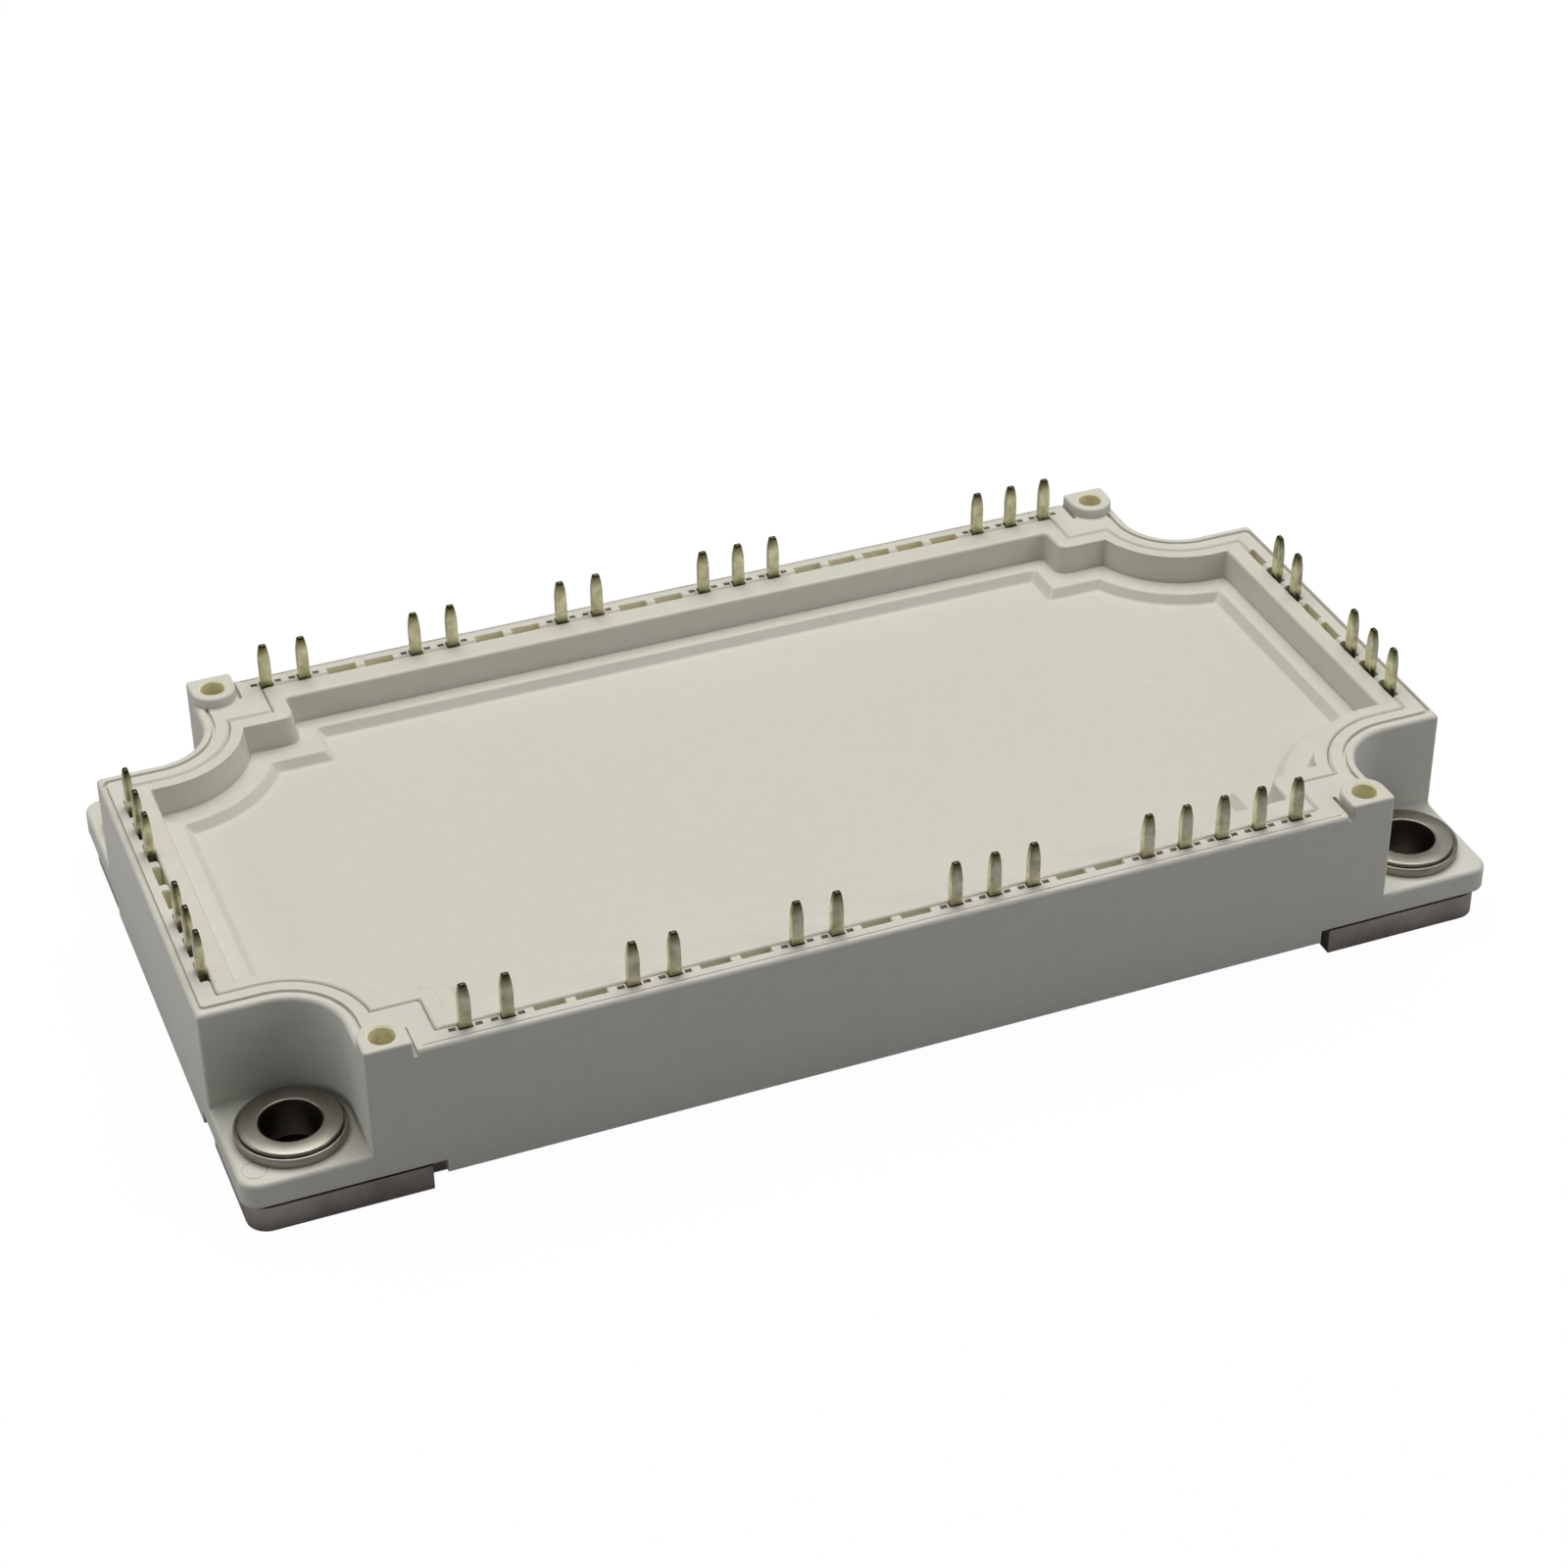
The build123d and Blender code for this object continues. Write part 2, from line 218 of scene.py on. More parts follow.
def add(tree, kind, links=None, **settings):
    """Adds a node: settings go to its properties or sockets, and links join other sockets to its inputs."""
    node = tree.nodes.new(kind)
    for name, value in settings.items():
        if name == "ramp":
            elements = node.color_ramp.elements
            while len(elements) < len(value):
                elements.new(0.5)
            for element, (position, colour) in zip(elements, value):
                element.position = position
                element.color = colour
        elif hasattr(node, name):
            setattr(node, name, value)
        else:
            node.inputs[name.replace("_", " ")].default_value = value
    for name, socket in (links or {}).items():
        tree.links.new(socket, node.inputs[name])
    return node


def new_material(name):
    """Empty node material with its output node."""
    material = bpy.data.materials.new(name)
    material.use_nodes = True
    tree = material.node_tree
    tree.nodes.clear()
    return material, tree, add(tree, "ShaderNodeOutputMaterial")


# Materials

def plastic(name, body, deep, scatter=0.1, reach=0.6):
    """Filled polyester from a spark-eroded tool, or a body as matt: faintly clouded and softly lit through.

    Scatter is the share of light that goes under the skin, and reach its depth in millimetres.
    """
    material, tree, output = new_material(name)
    place = add(tree, "ShaderNodeTexCoord").outputs["Object"]
    # flow of the melt: clouds of about 22 mm, so faint that a flat face isn't quite even
    cloud = add(tree, "ShaderNodeTexNoise", {"Vector": place}, Scale=1 / (22 * MM),
                Detail=2.0, Roughness=0.45)
    # glass fibre under the skin: mottling of about 1.5 mm, drawn coarser than the fibres are
    fibre = add(tree, "ShaderNodeTexNoise", {"Vector": place}, Scale=1 / (1.5 * MM),
                Detail=3.0, Roughness=0.6)
    # spark-eroded grain of 0.15 mm
    erosion = add(tree, "ShaderNodeTexNoise", {"Vector": place}, Scale=1 / (0.15 * MM), Detail=1.0)
    tone = add(tree, "ShaderNodeValToRGB", {"Fac": cloud.outputs["Fac"]},
               ramp=linear_ramp((0.30, deep), (0.66, body)))
    speck = add(tree, "ShaderNodeValToRGB", {"Fac": fibre.outputs["Fac"]},
                ramp=linear_ramp((0.32, "#FCFCFB"), (0.62, "#FFFFFF")))
    colour = add(tree, "ShaderNodeMix", {mix_a: tone.outputs["Color"], mix_b: speck.outputs["Color"]},
                 data_type="RGBA", blend_type="MULTIPLY", Factor=1.0)
    rough = add(tree, "ShaderNodeMapRange", {"Value": fibre.outputs["Fac"]}, To_Min=0.47, To_Max=0.54)
    grain = add(tree, "ShaderNodeBump", {"Height": erosion.outputs["Fac"]},
                Strength=0.09, Distance=0.02 * MM)
    sink = add(tree, "ShaderNodeBump", {"Height": cloud.outputs["Fac"], "Normal": grain.outputs["Normal"]},
               Strength=0.1, Distance=0.1 * MM)
    shader = add(tree, "ShaderNodeBsdfPrincipled",
                 {"Base Color": colour.outputs[mix_result], "Roughness": rough.outputs["Result"],
                  "Normal": sink.outputs["Normal"]},
                 IOR=1.57, Subsurface_Weight=scatter, Subsurface_Radius=(1.0, 0.8, 0.45),
                 Subsurface_Scale=reach * MM)
    tree.links.new(shader.outputs["BSDF"], output.inputs["Surface"])
    return material


def metal(name, base, dark, cloud_mm, line_mm, rough, stretch=(1, 1, 1), relief=0.06,
          coordinates="Object", height=None):
    """Metal: base colour clouded by a darker tint, with fine tool lines stretched along one axis.

    On UV coordinates the lines have their width in the map's own unit. A height (low, high, ramp) in
    millimetres tints the metal along Object Z.
    """
    material, tree, output = new_material(name)
    texture = add(tree, "ShaderNodeTexCoord")
    place = texture.outputs["Object"]
    spread = add(tree, "ShaderNodeMapping", {"Vector": texture.outputs[coordinates]}, Scale=stretch)
    unit = MM if coordinates == "Object" else 1
    line = add(tree, "ShaderNodeTexNoise", {"Vector": spread.outputs["Vector"]},
               Scale=1 / (line_mm * unit), Detail=2.0, Roughness=0.5)
    cloud = add(tree, "ShaderNodeTexNoise", {"Vector": place}, Scale=1 / (cloud_mm * MM),
                Detail=3.0, Roughness=0.55)
    tint = add(tree, "ShaderNodeValToRGB", {"Fac": cloud.outputs["Fac"]},
               ramp=linear_ramp((0.30, dark), (0.62, base)))
    dull = add(tree, "ShaderNodeMapRange", {"Value": line.outputs["Fac"]}, From_Min=0.3, From_Max=0.7,
               To_Min=rough[0], To_Max=rough[1])
    bump = add(tree, "ShaderNodeBump", {"Height": line.outputs["Fac"]}, Strength=relief, Distance=0.01 * MM)
    colour = tint.outputs["Color"]
    # the height ramp darkens the metal along Object Z: painted shade, at the pins' feet and tips and along
    # the plate's upper edge
    if height:
        low, high, ramp = height
        parts = add(tree, "ShaderNodeSeparateXYZ", {"Vector": place})
        share = add(tree, "ShaderNodeMapRange", {"Value": parts.outputs["Z"]},
                    From_Min=low * MM, From_Max=high * MM)
        painted_height_shade = add(tree, "ShaderNodeValToRGB", {"Fac": share.outputs["Result"]}, ramp=linear_ramp(*ramp))
        mix = add(tree, "ShaderNodeMix", {mix_a: colour, mix_b: painted_height_shade.outputs["Color"]},
                  data_type="RGBA", blend_type="MULTIPLY", Factor=1.0)
        colour = mix.outputs[mix_result]
    shader = add(tree, "ShaderNodeBsdfPrincipled",
                 {"Base Color": colour, "Roughness": dull.outputs["Result"],
                  "Normal": bump.outputs["Normal"]},
                 Metallic=1.0)
    tree.links.new(shader.outputs["BSDF"], output.inputs["Surface"])
    return material


# warm grey-white moulding with a low, soft sheen
housing_plastic = plastic("moulded_polyester_housing", "#D3D1C6", "#D1CFC3")
# the same plastic from another batch: a shade warmer than the frame round it
lid_plastic = plastic("moulded_polyester_lid", "#D2D0C4", "#D0CEC1")
# walls round empty slots and tower holes: a paler, yellower copy of the frame's plastic, painted light for
# the light that comes through them, with more scatter under the skin as well
painted_glow_plastic = plastic("polyester_painted_glow", "#F6F2D8", "#F1ECCB", scatter=0.25, reach=0.8)

# turned brass under satin nickel: turn lines of 0.024 mm, too fine to tell apart, soften its highlights
turning = {"cloud_mm": 3.0, "line_mm": 1.0, "stretch": (3, 420, 1), "relief": 0.04, "coordinates": "UV"}
bushing_nickel = metal("nickel_plated_turned_brass", "#A09D93", "#8E8B81", rough=(0.30, 0.40), **turning)
# in the bore the nickel is browner and darker than on the ring: painted shade inside the bore
shaded_bore_nickel = metal("nickel_in_bore_painted_shade", "#9C9385", "#7F776B", rough=(0.30, 0.42), **turning)

# tin over copper strip: bright and faintly yellow; darker at the foot, painted shade where it stands in the
# frame's slot, and darker toward the tip, painted shade of its rounded end
pin_shade_ramp = [(0.0, "#A39E88"), (0.16, "#F4F2EA"), (0.66, "#FFFFFF"), (0.88, "#A6A38C"), (1.0, "#5E5B4A")]
pin_tin = metal("tinned_pin_stock", "#E8E5C8", "#B9B696", cloud_mm=1.2, line_mm=0.12,
                stretch=(1, 1, 0.08), rough=(0.18, 0.32), height=(16.0, pin_top, pin_shade_ramp))

# nickel on rolled copper: dull warm grey, darkened along its upper edge by painted shade under the frame's
# overhang
overhang_shade_ramp = [(0.0, "#FFFFFF"), (0.30, "#FFFFFF"), (0.50, "#6A655C"), (1.0, "#3A3731")]
plate_nickel = metal("nickel_plated_copper_plate", "#C8C0B5", "#AFA79C", cloud_mm=4.0, line_mm=0.2,
                     stretch=(1, 1, 0.15), rough=(0.40, 0.55), height=(2.45, 2.90, overhang_shade_ramp))
# where the plate is bored: a dark, dull brown, painted shade deep in the hole
shaded_plate_bore = metal("plate_bore_painted_shade", "#4A463F", "#38352F", cloud_mm=3.0, line_mm=0.3,
                   stretch=(1, 1, 0.3), rough=(0.5, 0.7))

# inside, under the lid: etched copper with a soft pink sheen, dull solder, glossy silicon, bright drawn wire
copper = metal("etched_copper", "#D08A5E", "#B97850", cloud_mm=3.0, line_mm=0.2, rough=(0.3, 0.45))
solder_grey = metal("solder_layer", "#A9A8A4", "#86857F", cloud_mm=2.0, line_mm=0.5, rough=(0.4, 0.6))
silicon = metal("metallised_silicon", "#8F949C", "#7C8088", cloud_mm=4.0, line_mm=0.2, rough=(0.2, 0.3))
wire_metal = metal("aluminium_bond_wire", "#D5D6D8", "#B4B5B8", cloud_mm=1.0, line_mm=0.1,
                   rough=(0.2, 0.35))
# fired white ceramic, a dark fired sensor and a pale, cloudy gel, all as matt as the mouldings
ceramic_white = plastic("sintered_alumina", "#F1F0EA", "#E6E4DB")
sensor_dark = plastic("sintered_oxide_sensor", "#3A3732", "#2C2A27", scatter=0.0)
gel_clear = plastic("silicone_gel_skin", "#DDE2DF", "#CBD1CE", scatter=0.3)


def dress(names, material):
    """Gives carried-over nodes their finish."""
    for name in names:
        for slot in nodes[name].material_slots:
            slot.material = material


dress(["substrate_solder"], solder_grey)
dress(["back_copper", "conductors_left", "conductors_middle", "conductors_right"], copper)
dress(["ceramic_left", "ceramic_middle", "ceramic_right"], ceramic_white)
dress(["rectifier_diodes", "inverter_transistors", "inverter_diodes"], silicon)
dress(["brake_transistor", "brake_diode"], silicon)
dress(["bond_wires"], wire_metal)
dress(["thermistor"], sensor_dark)
dress(["silicone_gel"], gel_clear)


# Mesh helpers

def grid_faces(rows, columns, around=True, over=False):
    """Quads of a grid of points, closed round its columns and, if asked, from its last row to its first."""
    index = np.arange(rows * columns).reshape(rows, columns)
    if over:
        index = np.concatenate([index, index[:1]])
    if around:
        index = np.concatenate([index, index[:, :1]], axis=1)
    return np.stack([index[:-1, :-1], index[:-1, 1:], index[1:, 1:], index[1:, :-1]], axis=-1).reshape(-1, 4)


def cleaned(mesh, merge=1e-4):
    """Mesh with merged doubles, no flat faces, and faces turned outward."""
    bm = bmesh.new()
    bm.from_mesh(mesh)
    bmesh.ops.remove_doubles(bm, verts=bm.verts, dist=merge)
    bmesh.ops.dissolve_degenerate(bm, dist=merge, edges=bm.edges)
    bmesh.ops.recalc_face_normals(bm, faces=bm.faces)
    bm.to_mesh(mesh)
    bm.free()
    return mesh


def solid_mesh(name, points, over=False, caps=False):
    """Closed mesh in millimetres from rows of points, joined last to first or capped at both ends."""
    rows, columns = points.shape[:2]
    faces = grid_faces(rows, columns, over=over).tolist()
    if caps:
        faces += [list(range(columns))[::-1], list(range((rows - 1) * columns, rows * columns))]
    mesh = bpy.data.meshes.new(name)
    mesh.from_pydata(points.reshape(-1, 3).tolist(), [], faces)
    return cleaned(mesh)


def joined(name, meshes, materials):
    """One mesh of several, each given as (mesh, material index), where None keeps the mesh's own."""
    bm = bmesh.new()
    for mesh, index in meshes:
        first = len(bm.faces)
        bm.from_mesh(mesh)
        bm.faces.ensure_lookup_table()
        if index is not None:
            for face in bm.faces[first:]:
                face.material_index = index
    merged = bpy.data.meshes.new(name)
    bm.to_mesh(merged)
    bm.free()
    for material in materials:
        merged.materials.append(material)
    return merged


def combined(base, other, operation):
    """Mesh of two closed meshes after a union or a difference, each face with the material it came with."""
    scene = bpy.context.scene.collection
    first = bpy.data.objects.new("base", base)
    second = bpy.data.objects.new("other", other)
    scene.objects.link(first)
    scene.objects.link(second)
    modifier = first.modifiers.new("combine", "BOOLEAN")
    modifier.object = second
    modifier.operation = operation
    modifier.solver = "EXACT"
    modifier.material_mode = "TRANSFER"
    evaluated = first.evaluated_get(bpy.context.evaluated_depsgraph_get())
    result = bpy.data.meshes.new_from_object(evaluated)
    bpy.data.objects.remove(first)
    bpy.data.objects.remove(second)
    return result


def as_piece(name, mesh, materials=None, sharp_angle=32.0):
    """Object at the origin from a mesh in millimetres, smooth up to an angle, riding on the one body.

    Materials, where given, are set before the faces go back into the mesh, because setting them later
    would send every face to the first one.
    """
    bm = bmesh.new()
    bm.from_mesh(mesh)
    if materials:
        mesh.materials.clear()
        for material in materials:
            mesh.materials.append(material)
    bmesh.ops.scale(bm, vec=(MM, MM, MM), verts=bm.verts)
    for face in bm.faces:
        face.smooth = True
    for edge in bm.edges:
        edge.smooth = not (edge.is_manifold and edge.calc_face_angle() > math.radians(sharp_angle))
    bm.to_mesh(mesh)
    bm.free()
    mesh.name = name
    piece = bpy.data.objects.new(name, mesh)
    bpy.context.scene.collection.objects.link(piece)
    modifier = piece.modifiers.new("even_flats", "WEIGHTED_NORMAL")
    modifier.keep_sharp = True
    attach(piece, "root")
    return piece


def at_height(path, height):
    """Outline set at a height, which may be one value for each of its points."""
    return np.column_stack([path, np.broadcast_to(height, len(path))])


def curve(first, corner, last, steps):
    """Quadratic arc between two points round a corner: (1-t)^2 A + 2t(1-t) V + t^2 B."""
    t = np.linspace(0, 1, steps)[:, None]
    first, corner, last = (np.array(point, float) for point in (first, corner, last))
    return (1 - t) ** 2 * first + 2 * t * (1 - t) * corner + t ** 2 * last


def line(first, last, steps):
    """Even points from one point to another: A + t (B - A)."""
    t = np.linspace(0, 1, steps)[:, None]
    return np.array(first, float) + t * (np.array(last, float) - np.array(first, float))


def arc(centre, radius, start, end, steps):
    """Points on a circle: centre + radius (cos a, sin a) for a from start to end in degrees."""
    angle = np.radians(np.linspace(start, end, steps))
    return np.stack([centre[0] + radius * np.cos(angle), centre[1] + radius * np.sin(angle)], axis=1)


def quarter_round(steps):
    """Shares (out, up) along a quarter round that starts upright and ends flat: 1 - cos a and sin a."""
    angle = np.linspace(0, math.pi / 2, steps)
    return list(zip(1 - np.cos(angle), np.sin(angle)))


def ring_of_quarters(quarter_points):
    """Whole ring of 3-D points from those of one quarter, mirrored over both axes."""
    back = quarter_points[::-1]
    return np.concatenate([quarter_points, back * (-1, 1, 1),
                           quarter_points * (-1, -1, 1), back * (1, -1, 1)])


# Outlines of frame and lid: a quarter each, all with the same count of points, so that rows join one to one

arc_steps = 26
leg_steps = 6
corner_steps = 5
lead_steps = 3
least_corner = 0.1
side_marks = np.array([0.0, 9.0, skirt_end_y, skirt_end_y, 17.9])
long_marks = np.array([47.5, skirt_end_x, skirt_end_x, 22.0, 0.0])


def quarter_ends(x, y, between, shrink_x=1.0, shrink_y=1.0):
    """Quarter outline: points up the end side at x, those between, and points along the long side at y."""
    return np.concatenate([
        np.column_stack([np.full(len(side_marks), x), side_marks * shrink_y]),
        *between,
        np.column_stack([long_marks * shrink_x, np.full(len(long_marks), y)]),
    ])


def wall_quarter(inset=0.0):
    """Outside of the frame above its lugs: corner, leg, arc round the pocket, leg and corner."""
    x, y, r, c = house_x - inset, house_y - inset, pocket_radius + inset, plan_corner
    low, near = hole_y - r, hole_x - r
    return quarter_ends(x, y, [
        curve((x, low - c), (x, low), (x - c, low), corner_steps),
        line((x - c, low), (hole_x, low), leg_steps),
        arc((hole_x, hole_y), r, 270, 180, arc_steps),
        line((near, hole_y), (near, y - c), 2 * leg_steps),
        curve((near, y - c), (near, y), (near - c, y), corner_steps),
    ])


def lug_quarter(inset=0.0):
    """Outside of the lugs: straight on from both sides to one rounded corner."""
    x, y, c = house_x - inset, house_y - inset, plan_corner
    r = max(lug_corner - inset, least_corner)
    low, near = hole_y - pocket_radius, hole_x - pocket_radius
    return quarter_ends(x, y, [
        line((x, low - c), (x, low + c), corner_steps),
        line((x, low + c), (x, hole_y), leg_steps),
        line((x, hole_y), (x, y - r), lead_steps + 1)[:-1],
        arc((x - r, y - r), r, 0, 90, arc_steps - 2 * lead_steps),
        line((x - r, y), (hole_x, y), lead_steps + 1)[1:],
        line((hole_x, y), (near + c, y), 2 * leg_steps),
        line((near + c, y), (near - c, y), corner_steps),
    ])


def stepped_quarter(half_x, half_y, radius, step_x, step_y, corner=lid_plan_corner, hollow=lid_plan_corner):
    """Inner outline: corner, arc round the screw hole, square step with a rounded hollow, and corner."""
    c = lid_plan_corner
    start_x = min(half_x - c, hole_x)
    start = 270 - math.degrees(math.asin((hole_x - start_x) / radius))
    low = hole_y - math.sqrt(radius ** 2 - (hole_x - start_x) ** 2)
    end = 180 + math.degrees(math.asin((hole_y - step_y) / radius))
    round_hole = arc((hole_x, hole_y), radius, start, end, arc_steps)
    shrink_x = (step_x - hollow) / (hole_x - pocket_radius - plan_corner)
    shrink_y = (low - c) / (hole_y - pocket_radius - plan_corner)
    return quarter_ends(half_x, half_y, [
        curve((half_x, low - c), (half_x, low), (half_x - c, low), corner_steps),
        line((half_x - c, low), (start_x, low), leg_steps),
        round_hole,
        line((round_hole[-1, 0], step_y), (step_x + corner, step_y), leg_steps),
        curve((step_x + corner, step_y), (step_x, step_y), (step_x, step_y + corner), leg_steps),
        curve((step_x, half_y - hollow), (step_x, half_y), (step_x - hollow, half_y), corner_steps),
    ], shrink_x, shrink_y)


def gap_quarter(grow=0.0):
    """Opening of the frame for the lid."""
    g = lid_gap + grow
    return stepped_quarter(lid_half_x + g, lid_half_y + g, pocket_radius + lid_corner_wall - g,
                           lid_step_x + g, lid_step_y + g)


def shelf_quarter():
    """Inner edge of the shelf under the lid."""
    return stepped_quarter(lid_half_x - shelf_width, lid_half_y - shelf_width,
                           pocket_radius + shelf_corner_wall, hole_x - shelf_step_run, lid_step_y)


def lid_quarter(inset=0.0):
    """Outside of the lid, drawn in by an inset."""
    return gap_quarter(-lid_gap - inset)


def recess_quarter(inset=0.0, corner_inset=0.0, corner=recess_corner):
    """Inside of the lid's rim, drawn in by an inset."""
    return stepped_quarter(
        lid_half_x - rim_end - inset, lid_half_y - rim_side - inset,
        pocket_radius + lid_corner_wall + rim_corner + corner_inset,
        lid_step_x - rim_step - inset, lid_step_y - rim_step - corner_inset, corner, recess_hollow)


# Housing: one closed skin carried round the outline, then slots, notches and holes taken out of it

edge_steps = 5
fine_edge_steps = 4
wide_edge_steps = 6
cutter_over = 1.0
groove_over = 0.2


def underside(lug):
    """Height of the frame's underside at each point of its outline: low on the skirts, else the plate's top.

    Each end of a skirt is a doubled mark, one point of it low and the other high, so that it stands upright.
    """
    near = 0.01
    beside_x = (lug[:, 0] <= skirt_end_x) & (lug[:, 1] > house_y - near)
    beside_y = (lug[:, 1] <= skirt_end_y) & (lug[:, 0] > house_x - near)
    skirt = beside_x | beside_y
    skirt[np.flatnonzero(side_marks == skirt_end_y)[1]] = False
    skirt[len(lug) - len(long_marks) + np.flatnonzero(long_marks == skirt_end_x)[0]] = False
    return np.where(skirt, skirt_bottom, plate_top)


def housing_skin():
    """Rows of the frame's skin: from the underside up its wall, over its top and down to the lid's seat.

    Edge breaks are quarter rounds. Those of the lug and its fillet fade out where wall and lug meet.
    """
    lug, wall = lug_quarter(), wall_quarter()
    apart = np.linalg.norm(lug - wall, axis=1)
    outward = (lug - wall) / np.maximum(apart, 1e-9)[:, None]
    per_inset = lug - lug_quarter(1.0)
    edge = lug_edge * np.clip(apart / lug_edge_fade, 0, 1)[:, None]
    fillet = lug_fillet * np.clip(apart / lug_fillet_fade, 0, 1)[:, None]
    bottom = underside(lug)
    foot = bottom + np.where(bottom > skirt_bottom, glue_gap, 0)
    rows = [at_height(lug_quarter(skirt_thickness), bottom), at_height(lug_quarter(glue_inset), bottom),
            at_height(lug_quarter(glue_inset), foot)]
    rows += [at_height(lug_quarter(foot_edge * (1 - up)), foot + foot_edge * out)
             for out, up in quarter_round(fine_edge_steps)]
    rows += [at_height(lug - edge * out * per_inset, lug_top - lug_edge * (1 - up))
             for out, up in quarter_round(edge_steps)]
    rows += [at_height(wall + outward * fillet * (1 - up), lug_top + fillet[:, 0] * out)
             for out, up in quarter_round(edge_steps)]
    rows += [at_height(wall_quarter(wall_edge * out), wall_top - wall_edge * (1 - up))
             for out, up in quarter_round(wide_edge_steps)]
    rows += [at_height(gap_quarter(lid_lip), wall_top), at_height(gap_quarter(), wall_top - lid_lip),
             at_height(gap_quarter(), lid_bottom), at_height(shelf_quarter(), lid_bottom),
             at_height(shelf_quarter(), plate_top), at_height(lug_quarter(skirt_thickness), plate_top)]
    return rows


def box_mesh(low, high):
    """Cutter box between two corners, with a ring of points where it meets the frame's top."""
    plan = np.array([(low[0], low[1]), (high[0], low[1]), (high[0], high[1]), (low[0], high[1])])
    points = np.stack([at_height(plan, z) for z in (low[2], wall_top, high[2])])
    return solid_mesh("cutter", points, caps=True)


def round_mesh(centre, profile, segments=40):
    """Cutter turned about an upright axis: (r cos a, r sin a, z) along a profile of (r, z) pairs."""
    last = 360 - 360 / segments
    points = np.stack([at_height(arc(centre, r, 0, last, segments), z) for r, z in profile])
    return solid_mesh("cutter", points, caps=True)


def groove_section(width, depth, foot, mouth):
    """Section (across, up) of a groove cutter: flat foot, sides out to the width, and a wider mouth."""
    side = np.array([(foot, -depth), (0.5, 0.0), (mouth, groove_over)]) * (width, 1)
    return np.concatenate([side[::-1] * (-1, 1), side])


def groove_mesh(path, width, depth):
    """Groove cutter carried along a path in plan: the section stays square to the path."""
    run = np.gradient(path, axis=0)
    across = np.column_stack([-run[:, 1], run[:, 0]]) / np.linalg.norm(run, axis=1, keepdims=True)
    section = groove_section(width, depth, foot=0.34, mouth=0.6)
    points = np.stack([at_height(path + across * side, wall_top + up) for side, up in section], axis=1)
    return solid_mesh("cutter", points, caps=True)


def ring_cutter(centre, radius, width, depth, top, segments=48):
    """Ring-shaped groove cutter: (r cos a, r sin a, z) round a closed section."""
    section = groove_section(width, depth, foot=0.2, mouth=0.7)
    last = 360 - 360 / segments
    points = np.stack([at_height(arc(centre, radius + side, 0, last, segments), top + up)
                       for side, up in section])
    return solid_mesh("cutter", points, over=True)


def tower_mesh(side_x, side_y):
    """Tower: half round toward the middle and square toward the edge, with a rounded top.

    It stands a hair proud of the wall, so that no two faces of the union share a plane.
    """
    r, reach, c = tower_radius + tower_proud, house_y - tower_y + tower_proud, plan_corner
    plan = np.concatenate([
        arc((0, 0), r, 180, 360, steps=33),
        curve((r, reach - c), (r, reach), (r - c, reach), steps=6),
        curve((c - r, reach), (-r, reach), (-r, reach - c), steps=6),
    ])
    inward = plan / np.linalg.norm(plan, axis=1, keepdims=True)
    rows = [at_height(plan, lug_top - tower_root)]
    rows += [at_height(plan - inward * tower_edge * out, tower_top - tower_edge * (1 - up))
             for out, up in quarter_round(edge_steps)]
    points = np.stack(rows) * (side_x, side_y, 1) + (side_x * tower_x, side_y * tower_y, 0)
    return solid_mesh("tower", points, caps=True)


pins = sorted(name for name in nodes if "_pin_" in name)
row_angle = {"front": 0.0, "back": math.pi, "left": -math.pi / 2, "right": math.pi / 2}
row_step = {"front": 1, "back": -1, "left": 1, "right": -1}
row_distance = {row: house_x - end_row_inset if row in ("left", "right") else house_y - long_row_inset
                for row in places}


def turned(points, angle):
    """Plan points turned by quarter turns."""
    c, s = round(math.cos(angle)), round(math.sin(angle))
    return points @ np.array([[c, s], [-s, c]])


def place_along(row, number):
    """Distance along the row's own X of a numbered place."""
    return row_step[row] * pitch * (number - (places[row] + 1) / 2)


def row_box(row, low, high):
    """Cutter box in a row's own frame, whose Y points into the housing, set into the module's frame."""
    corners = np.array([(low[0], low[1] - row_distance[row]), (high[0], high[1] - row_distance[row])])
    moved = turned(corners, row_angle[row])
    return box_mesh((*moved.min(axis=0), low[2]), (*moved.max(axis=0), high[2]))


def comb_cutters():
    """Slots at the empty places and along the short sides, and notches and wells at the other pins."""
    slots, trims = [], []
    half = pin_thickness / 2
    above = wall_top + cutter_over
    for row, count in places.items():
        for number in range(1, count + 1):
            x = place_along(row, number)
            held = f"{row}_pin_{number:02d}" in nodes
            if not held or row in ("left", "right"):
                outer = slot_narrowing.get(row, 0) - half
                slot = row_box(row, (x - slot_length / 2, outer, wall_top - slot_depth),
                               (x + slot_length / 2, half + slot_inward, above))
                (trims if held else slots).append(slot)
            else:
                for side in (-1, 1):
                    middle = x + side * side_notch_place
                    trims.append(row_box(
                        row, (middle - side_notch_width / 2, -half, wall_top - side_notch_depth),
                        (middle + side_notch_width / 2, side_notch_length - half, above)))
                reach = pin_width / 2 + well_gap
                trims.append(row_box(row, (x - reach, -half - well_gap, wall_top - well_depth),
                                     (x + reach, half + slot_inward, above)))
    return slots, trims


def groove_paths():
    """Fine grooves near the edge of the frame's top: round each end, and along both long sides."""
    x, r, c = house_x - groove_inset, pocket_radius + groove_inset_pocket, groove_corner
    low, near = hole_y - r, hole_x - r
    quarter = np.concatenate([
        line((x, 0), (x, low - c), steps=8)[:-1],
        curve((x, low - c), (x, low), (x - c, low), steps=7),
        line((x - c, low), (hole_x, low), steps=6)[1:-1],
        arc((hole_x, hole_y), r, 270, 180, steps=24),
        line((near, hole_y), (near, tower_y - tower_radius + groove_into_tower), steps=4)[1:],
    ])
    end = np.concatenate([(quarter * (1, -1))[::-1], quarter[1:]])
    reach = tower_x - tower_radius - notch_width - side_groove_gap
    side = line((-reach, house_y - groove_inset), (reach, house_y - groove_inset), steps=40)
    return (end, end * (-1, 1)), (side, side * (1, -1))


